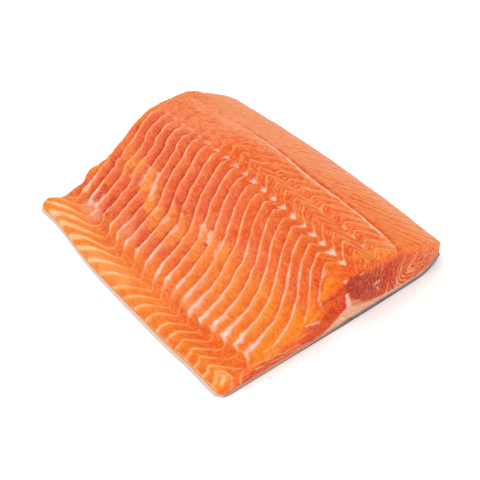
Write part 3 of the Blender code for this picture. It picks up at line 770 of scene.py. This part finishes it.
def cut_look(y, z, side):
    """The same as top_look for a cut face, from its place across the fish, its height and its side."""
    top = along_fish(SECTIONS, y * 0 + LENGTH / 2, y)
    warp = 1.3 * noise(y / 6, z / 6, 21) + 0.7 * noise(y / 2, z / 2, 22)
    tone = lay(
        fill(CUT_RED, y),
        (CUT_LIGHT, ramp(34, 56, y + 3 * warp)),
        (CUT_ORANGE, ramp(8, 2.5, top - z + warp) * ramp(6, 18, y)),
    )
    for middle_y, middle_z, wide, high, strength in DARK_MUSCLE:
        dark = strength * np.exp(-(((y - middle_y) / wide) ** 2) - ((z - middle_z) / high) ** 2)
        tone = lay(tone, (CUT_DARK, np.clip(dark * (1 + 0.4 * warp), 0, 1)))
    up = z - flesh_floor(y) * 0.7 + 1.5 * warp + np.interp(y, (-76, -60), (9, 0))
    belly = lay(fill(BAND_RED, y), (CUT_ORANGE, ramp(6, 11, up)))
    tone = mix(tone, belly, ramp(-1, -12, y))
    lower, upper, torn = torn_shelves(y, z, side)
    tone = lay(tone, (BAND_RED, torn * (1 - lower)))
    between = lay(fill(CUT_ORANGE, y), (BAND_RED, ramp(-14, -6, y + 2 * warp)))
    tone = mix(tone, between, torn * lower * (1 - upper))
    in_fat = ramp(0.8, -0.8, z - np.interp(y, *zip(*FAT_EDGE)) + 0.7 * warp)
    in_fat = in_fat * ramp(-13, -10, y) * ramp(34, 28, y)
    tone = lay(
        tone,
        (CUT_ORANGE, torn * upper),
        (FAT_TAN, 0.75 * in_fat),
        (EDGE_CREAM, 0.8 * ramp(1.3, 0.4, z - flesh_floor(y))),
    )
    tone = np.where((side == NEAR_FACE)[:, None], paint(tone, y, z, CUT_STROKES), tone)

    ring = np.where(y < DARK_HEART_TO, from_segment(y, z, *DARK_HEART), from_segment(y, z, *RING_HEART))
    ring = (ring + 1.2 * warp) / RING_SPACING
    ring = np.where(y > -1, ring, (z + 0.12 * y + warp) / STREAK_SPACING)
    ring_shows = np.interp(y, *zip(*RING_SHOWS)) * (1 - torn) * np.where(side == FAR_FACE, 0.5, 1)
    ring_shows = ring_shows * (1 - 0.45 * ramp(13, 20, z) * ramp(46, 52, y))
    ring_shows = ring_shows * (1 - 0.75 * ramp(15, 21, z) * bump(42, 9, y))
    ring_shows = np.clip(ring_shows * (0.8 + 0.6 * noise(y / 3, z / 3, 24)), 0, 1)
    soft = 0.5 * ramp(38, 48, y)
    none = np.zeros_like(y)
    seam = (none + NO_SEAM, none + 0.4, none, fill(SEAM_PINK, y))
    return tone, *seam, ring, ring_shows, soft, none + CUT_GRAIN


def torn_shelves(y, z, side):
    """How far a place of the near cut lies over the lower and the upper torn shelf, and how torn it is."""
    lower, upper = (
        ramp(-0.7, 0.7, z - np.interp(y, *zip(*shelf))) for shelf in (LOWER_SHELF, UPPER_SHELF)
    )
    return lower, upper, ramp(-29, -23, y) * ramp(3.5, 0.5, y) * (side == NEAR_FACE)


def outer_look(at, rim_look):
    """The same for the narrow outer faces along the belly and the back, which go on from the rim's look."""
    x, y, z = at.T
    _, seam, width, shows, seam_tone, count, count_shows, soft, loin = rim_look
    height = z - flesh_floor(y) + 0.4 * noise(x / 3, z / 2, 34)
    upper = lay(fill(RIM, x), (TIP_YELLOW, ramp(50, 20, x)), (BACK_PINK, ramp(-1, 1, y)))
    tone = mix(fill(RIM, x), upper, ramp(0.6, 1.6, height))
    high = ramp(0.2, 1.4, height)
    return tone, seam, width, shows * high, seam_tone, count, 0.6 * count_shows * high, soft, loin


def wall_level(start, side, t):
    """Places of one level of the walls: share t of the way down from the top's rim to the flesh's foot."""
    foot_z = flesh_floor(start[:, 1])
    foot_x = np.where(side == NEAR_FACE, near_base(start[:, 1]), start[:, 0])
    y, z = start[:, 1], start[:, 2] + (foot_z - start[:, 2]) * t
    lower, upper, torn = torn_shelves(y, z, side)
    stairs = SHELF_SHARES[0] * lower + SHELF_SHARES[1] * upper + (1 - sum(SHELF_SHARES)) * (1 - t)
    x = foot_x - (foot_x - start[:, 0]) * (torn * stairs + (1 - torn) * (1 - t))
    rough = 0.45 * noise(y / 5, z / 4, 30) + 0.3 * noise(y / 1.8, z / 1.8, 31)
    facing = np.select([side == NEAR_FACE, side == FAR_FACE], [1, -1], 0)
    return np.stack([x + facing * math.sin(math.pi * t) * (rough + 0.2), y, z], axis=-1)


def make_flesh():
    x, y, phase, width, shows, first, last = flesh_grid()
    z = top_height(x, y, phase)
    rows, columns = x.shape
    kept = np.clip(np.arange(rows)[:, None], first, last)
    used = kept == np.arange(rows)[:, None]
    numbers = np.cumsum(used.ravel()).reshape(used.shape) - 1
    index = np.take_along_axis(numbers, kept, axis=0)
    places = [np.stack([x, y, z], axis=-1)[used]]
    looks = [[value[used] for value in top_look(x, y, phase, width, shows)]]
    grain = [np.stack([phase * FLAKE_GRAIN, y, z], axis=-1)[used]]

    # The rim of the top, round the belly edge, the near cut, the back edge and the far cut
    each = np.arange(columns)
    sides = (
        index[first[0]:last[0], 0],
        index[last, each][:-1],
        index[first[-1] + 1:last[-1] + 1, -1][::-1],
        index[first, each][:0:-1],
    )
    rim = np.concatenate(sides)
    side = np.repeat(np.arange(4), [len(part) for part in sides])
    is_cut = (side == NEAR_FACE) | (side == FAR_FACE)
    loops = [rim]
    rim_grain = phase[used][rim] * FLAKE_GRAIN
    rim_look = [value[rim] for value in looks[0]]
    for level, share in enumerate([RIM_SHARE] + [step / LEVELS for step in range(1, LEVELS + 1)]):
        at = wall_level(places[0][rim], side, share)
        loops.append(len(places[0]) + level * len(rim) + np.arange(len(rim)))
        places.append(at)
        pairs = zip(cut_look(at[:, 1], at[:, 2], side), outer_look(at, rim_look))
        looks.append([np.where(is_cut if a.ndim == 1 else is_cut[:, None], a, b) for a, b in pairs])
        grain.append(np.stack([rim_grain + places[0][rim, 2] - at[:, 2], at[:, 1], at[:, 2]], axis=-1))
    faces = grid_faces(index) + grid_faces(np.stack([np.append(loop, loop[0]) for loop in loops]))

    # The underside runs from foot to foot of the two cuts
    bottom = loops[-1]
    corner = np.cumsum([0] + [len(part) for part in sides])
    near_feet = bottom[corner[1]:corner[2] + 1]
    far_feet = np.append(bottom[corner[3]:], bottom[0])[::-1]
    inner = slice(1, columns - 1)
    faces += grid_faces(np.stack([far_feet[inner], near_feet[inner]]))
    faces.append(bottom[:corner[1] + 2][::-1].tolist() + [far_feet[1]])
    faces.append(bottom[corner[2] - 1:corner[3] + 2][::-1].tolist())
    piece = mesh_piece("trout_flesh", np.concatenate(places), faces, "flesh")
    for name, parts in zip(LOOKS, zip(*looks)):
        add_values(piece, name, np.concatenate(parts))
    add_values(piece, "grain", np.concatenate(grain))
    piece.data.materials.append(flesh_material())


def unit_grid(steps):
    """Places from 0 to 1, and vertex numbers, of a grid of steps[0] by steps[1] cells."""
    u, v = np.meshgrid(*(np.linspace(0, 1, count + 1) for count in steps), indexing="ij")
    return u, v, np.arange(u.size).reshape(u.shape)


def slab_faces(index, layers):
    """Faces of a closed slab: its lower sheet, its upper sheet, and its sides in the given layers."""
    size = index.size
    rim = np.concatenate([index[:-1, 0], index[-1, :-1], index[:0:-1, -1], index[0, :0:-1]])
    between = [2 * size + len(rim) * layer + np.arange(len(rim)) for layer in range(layers - 1)]
    loops = [rim, *between, rim + size]
    wall = np.stack([np.append(loop, loop[0]) for loop in loops][::-1])
    faces = grid_faces(index[:, ::-1]) + grid_faces(index + size) + grid_faces(wall)
    return faces, rim


def make_fat():
    u, v, index = unit_grid(FAT_STEPS)
    y = FAT[0][0] + (FAT[-1][0] - FAT[0][0]) * v
    far, near = far_base(y), near_base(y)
    x = far + (near - far) * u
    low = np.stack([x, y, curl(y) + SKIN], axis=-1).reshape(-1, 3)
    thick = np.maximum(curve(FAT, 1, y), THINNEST_FAT)
    high = low + np.stack([0 * x, 0 * x, thick], axis=-1).reshape(-1, 3)
    faces, rim = slab_faces(index, FAT_LAYERS)
    sides = [low[rim] + (high[rim] - low[rim]) * layer / FAT_LAYERS for layer in range(1, FAT_LAYERS)]
    places = np.concatenate([low, high] + sides)
    piece = mesh_piece("trout_fat", places, faces, "fat")
    x, y, z = places.T
    add_values(piece, "grain", np.stack([x, y - FAT_STREAK_SLOPE * z, FAT_STREAK_SLOPE * y + z], axis=-1))
    piece.data.materials.append(fat_material())


def make_skin():
    u, v, index = unit_grid(SKIN_STEPS)
    along = (u - 0.5) * LENGTH
    belly = -WIDTH / 2 + curve(BELLY_EDGE, 1, along)
    back = WIDTH / 2 - curve(BACK_EDGE, 1, along)
    y = belly + (back - belly) * v
    far = -LENGTH / 2 + curve(FAR_CUT, 1, y)
    near = LENGTH / 2 - curve(NEAR_CUT, 1, y)
    low = np.stack([far + (near - far) * u, y, curl(y)], axis=-1).reshape(-1, 3)
    high = low + (0, 0, SKIN)
    faces, rim = slab_faces(index, len(SKIN_SHARES) + 1)
    sides = [low[rim] + (0, 0, SKIN * share) for share in SKIN_SHARES]
    piece = mesh_piece("trout_skin", np.concatenate([low, high] + sides), faces, "skin")

    # Scales underneath, the pale inner side along the belly, grey elsewhere, and a dark line in the cuts: the
    # skin's own dark edge, made darker at its foot by painted contact shadow
    at_belly = ramp(4, 3, (y - belly).ravel())
    x, y, _ = low.T
    outer = lay(
        fill(SKIN_SILVER, x),
        (SKIN_BLUE, ramp(-60, 20, y)),
        (SKIN_DARK, ramp(20, 75, y)),
    )
    patchy = 0.5 * noise(x / 5, y / 4, 43) + 0.4 * noise(x / 1.6, y / 1.4, 44)
    inner = lay(
        fill(EDGE_CREAM, x),
        (SKIN_MIST, ramp(-12, 6, y)),
        (MEMBRANE, at_belly),
        (SKIN_LINE, ramp(0, 0.6, patchy) * ramp(-20, 0, y)),
    )
    tones = [outer, inner]
    thick = ramp(-48, -14, y[rim])
    patchy = 0.5 * patchy[rim] + 0.5 * ramp(34, 46, y[rim])
    # The cut edge is lighter upwards, and its dark foot is partly painted contact shadow
    for share in SKIN_SHARES:
        line = lay(fill(SKIN_DARK, thick), (SKIN_LINE, ramp(0.7, 1.2, share + patchy)))
        tones.append(lay(
            mix(fill(SKIN_LINE, thick), line, thick),
            (EDGE_CREAM, ramp(0.6, 0.9, share) * (1 - thick)),
            (SKIN_PALE, at_belly[rim]),
        ))
    add_values(piece, "tone", np.concatenate(tones))
    add_values(piece, "scaly", np.concatenate([np.ones(len(low)), np.zeros(len(high) + 3 * len(rim))]))
    piece.data.materials.append(skin_material())


class Nodes:
    """Short calls for building a material's node tree."""

    def __init__(self, name):
        self.material = bpy.data.materials.new(name)
        self.material.use_nodes = True
        self.tree = self.material.node_tree
        self.shader = self.tree.nodes["Principled BSDF"]

    def add(self, kind, **settings):
        node = self.tree.nodes.new("ShaderNode" + kind)
        for key, value in settings.items():
            setattr(node, key, value)
        return node

    def link(self, value, socket):
        if isinstance(value, bpy.types.NodeSocket):
            self.tree.links.new(value, socket)
        elif isinstance(value, (tuple, list, np.ndarray)) and len(value) == 3 and socket.type == "RGBA":
            socket.default_value = (*value, 1)
        else:
            socket.default_value = value

    def attribute(self, name, output="Fac"):
        return self.add("Attribute", attribute_name=name).outputs[output]

    def math(self, operation, a, b=0):
        node = self.add("Math", operation=operation)
        self.link(a, node.inputs[0])
        self.link(b, node.inputs[1])
        return node.outputs[0]

    def times(self, value, *others):
        for other in others:
            value = self.math("MULTIPLY", value, other)
        return value

    def plus(self, value, *others):
        for other in others:
            value = self.math("ADD", value, other)
        return value

    def less(self, a, b):
        return self.math("SUBTRACT", a, b)

    def step(self, value, low, high):
        node = self.add("MapRange", interpolation_type="SMOOTHSTEP")
        for socket, given in zip(node.inputs, (value, low, high)):
            self.link(given, socket)
        return node.outputs[0]

    def blend(self, amount, a, b, kind="MIX"):
        node = self.add("Mix", data_type="RGBA", blend_type=kind)
        self.link(amount, node.inputs["Factor"])
        self.link(a, node.inputs[6])
        self.link(b, node.inputs[7])
        return node.outputs[2]

    def scaled(self, vector, scale):
        node = self.add("VectorMath", operation="MULTIPLY")
        self.link(vector, node.inputs[0])
        node.inputs[1].default_value = scale
        return node.outputs[0]

    def noise(self, vector, scale, detail=2):
        node = self.add("TexNoise")
        self.link(vector, node.inputs["Vector"])
        node.inputs["Scale"].default_value = scale
        node.inputs["Detail"].default_value = detail
        return node.outputs["Fac"]

    def cells(self, vector, scale, randomness=1):
        """Distance from the middle of the nearest cell."""
        node = self.add("TexVoronoi", feature="F1")
        self.link(vector, node.inputs["Vector"])
        node.inputs["Scale"].default_value = scale
        node.inputs["Randomness"].default_value = randomness
        return node.outputs["Distance"]

    def place(self):
        return self.add("TexCoord").outputs["Object"]

    def finish(self, colour, bump, settings):
        """Gives the shader its colour, its bump (height, metres, strength) and its constant values."""
        self.link(colour, self.shader.inputs["Base Color"])
        if bump:
            node = self.add("Bump")
            self.link(bump[0], node.inputs["Height"])
            node.inputs["Distance"].default_value, node.inputs["Strength"].default_value = bump[1:]
            self.link(node.outputs[0], self.shader.inputs["Normal"])
        for name, value in settings.items():
            self.shader.inputs[name].default_value = value
        return self.material


def flesh_material():
    n = Nodes("raw_flesh")
    place, grain = n.place(), n.attribute("grain", "Vector")
    loin, soft = n.attribute("loin"), n.attribute("ring_soft")
    across = n.noise(n.scaled(grain, (0.28, 1.25, 1.25)), 1)
    along = n.noise(n.scaled(grain, (1.25, 0.3, 1.25)), 1)
    mottle = n.noise(place, 420, 3)
    fine = n.noise(place, 1700)
    mixed = n.plus(n.times(n.blend(loin, across, along), 0.34), n.times(mottle, 0.3), n.times(fine, 0.36))
    tone = n.attribute("tone", "Color")
    dark = n.blend(1, tone, (0.92, 0.66, 0.55), "MULTIPLY")
    light = n.blend(0.5, tone, linear(SEAM_ORANGE))
    paler = n.blend(1, light, linear(SEAM_ORANGE), "LIGHTEN")
    coarse = n.times(loin, n.less(1, n.times(soft, 0.6)))
    flecks = n.noise(n.scaled(grain, (0.6, 0.5, 0.7)), 1, 3)
    for amount, colour in (
        (n.times(n.step(mixed, 0.51, 0.43), n.plus(n.times(coarse, 0.2), 0.8)), dark),
        (n.times(n.step(mixed, 0.5, 0.59), n.plus(n.times(coarse, 0.35), 0.55)), light),
        (n.times(n.step(flecks, 0.49, 0.4), coarse, 0.55), dark),
        (n.times(n.step(flecks, 0.52, 0.62), coarse, 0.35), paler),
        # Painted glints: small light specks
        (n.times(n.step(fine, 0.6, 0.75), 0.3), linear(PAINTED_GLINT)),
    ):
        tone = n.blend(amount, tone, colour)

    # The seams, with a halo, then the finer lines
    ragged = n.less(n.plus(fine, mottle), 1)
    edge = n.plus(n.attribute("seam"), n.times(ragged, 1.1))
    width, shows = n.attribute("seam_width"), n.attribute("seam_shows")
    halo = n.step(edge, n.times(width, 3.2), n.times(width, 0.8))
    tone = n.blend(n.times(halo, shows, 0.36), tone, linear(SEAM_ORANGE))
    line = n.step(edge, n.times(width, 1.6), n.times(width, 0.3))
    tone = n.blend(n.times(line, shows), tone, n.attribute("seam_tone", "Color"))
    count = n.plus(n.attribute("ring"), n.times(ragged, 0.3))
    ring = n.math("ABSOLUTE", n.less(n.math("FRACT", count), 0.5))
    shows = n.attribute("ring_shows")
    tone = n.blend(n.times(n.step(ring, 0.3, 0.04), shows, soft, 0.5), tone, linear(DARK_RED_AND_SHADE))
    line = n.times(n.step(ring, n.less(0.3, n.times(soft, 0.2)), 0.46), shows)
    tone = n.blend(line, tone, n.blend(soft, linear(CUT_SEAM), linear(BACK_LIGHT)))
    return n.finish(tone, (mixed, 0.0011, 0.8), {
        "Roughness": 0.5,
        "Specular IOR Level": 0.11,
        "Coat Weight": 0.07,
        "Coat Roughness": 0.14,
        "Subsurface Weight": 0.1,
        "Subsurface Radius": (1, 0.35, 0.15),
        "Subsurface Scale": 0.0012,
    })


def fat_material():
    n = Nodes("fish_fat")
    streaks = n.noise(n.scaled(n.attribute("grain", "Vector"), (0.4, 0.16, 0.9)), 1, 4)
    cloud = n.blend(0.5, streaks, n.noise(n.place(), 900, 3))
    colour = n.blend(n.step(cloud, 0.36, 0.62), linear(FAT_TAN), linear(FAT_WHITE))
    return n.finish(colour, (cloud, 0.0006, 0.6), {
        "Roughness": 0.45,
        "Subsurface Weight": 0.2,
        "Subsurface Radius": (1, 0.6, 0.4),
        "Subsurface Scale": 0.002,
    })


def skin_material():
    n = Nodes("fish_skin")
    place, scaly = n.place(), n.attribute("scaly")
    scales = n.cells(n.scaled(place, (1, 1.6, 1)), 420, 0.35)
    scale_edge = n.times(n.step(scales, 0.35, 0.75), scaly)
    tone = n.blend(n.times(scale_edge, 0.5), n.attribute("tone", "Color"), linear(SKIN_DARK))
    split = n.add("SeparateXYZ")
    n.link(place, split.inputs[0])
    spot = n.less(1, n.step(n.cells(place, 75), 0.12, 0.2))
    spot = n.times(spot, scaly, n.step(split.outputs["Y"], 0, 0.05))
    return n.finish(n.blend(spot, tone, SPOT_BLACK), (scale_edge, 0.0003, 0.5), {
        "Roughness": 0.34,
        "Specular IOR Level": 0.3,
        "Metallic": 0.1,
    })


def make_floor():
    bpy.ops.mesh.primitive_plane_add(size=FLOOR_SIZE, location=(0, 0, FLOOR_Z))
    floor = bpy.context.object
    floor.name = "floor"
    floor.data.materials.append(Nodes("white_floor").finish(FLOOR_WHITE, None, {
        "Roughness": 0.8,
        "Specular IOR Level": 0.1,
        "Emission Color": (1, 1, 1, 1),
        "Emission Strength": FLOOR_GLOW,
    }))


def make_light():
    world = bpy.data.worlds.new("studio")
    bpy.context.scene.world = world
    world.use_nodes = True
    sky = world.node_tree.nodes["Background"]
    sky.inputs["Color"].default_value = (1, 1, 1, 1)
    sky.inputs["Strength"].default_value = SKY_STRENGTH
    for name, place, size, power in LAMPS:
        data = bpy.data.lights.new(name, "AREA")
        data.shape, data.size, data.energy = "DISK", size, power
        lamp = bpy.data.objects.new(name, data)
        lamp.location = place
        lamp.rotation_euler = (-Vector(place)).to_track_quat("-Z", "Y").to_euler()
        bpy.context.scene.collection.objects.link(lamp)


# The camera that the photograph fits
PHOTO_SIDE = 480
FOCAL_PIXELS = 990
SENSOR = 36
CAMERA_AZIMUTH, CAMERA_ELEVATION = 51.9, 42
CAMERA_DISTANCE = 0.600
CAMERA_TARGET = (0.0071, 0.0003, 0)


def make_camera():
    a, e = math.radians(CAMERA_AZIMUTH), math.radians(CAMERA_ELEVATION)
    back = Vector((math.sin(a) * math.cos(e), -math.cos(a) * math.cos(e), math.sin(e)))
    data = bpy.data.cameras.new("camera")
    data.sensor_width = SENSOR
    data.lens = SENSOR * FOCAL_PIXELS / PHOTO_SIDE
    data.clip_start, data.clip_end = 0.01, 20
    camera = bpy.data.objects.new("camera", data)
    camera.location = Vector(CAMERA_TARGET) + back * CAMERA_DISTANCE
    camera.rotation_euler = back.to_track_quat("Z", "Y").to_euler()
    bpy.context.scene.collection.objects.link(camera)
    bpy.context.scene.camera = camera


make_camera()
make_flesh()
make_fat()
make_skin()
make_floor()
make_light()
bpy.context.scene.view_settings.view_transform = "Standard"
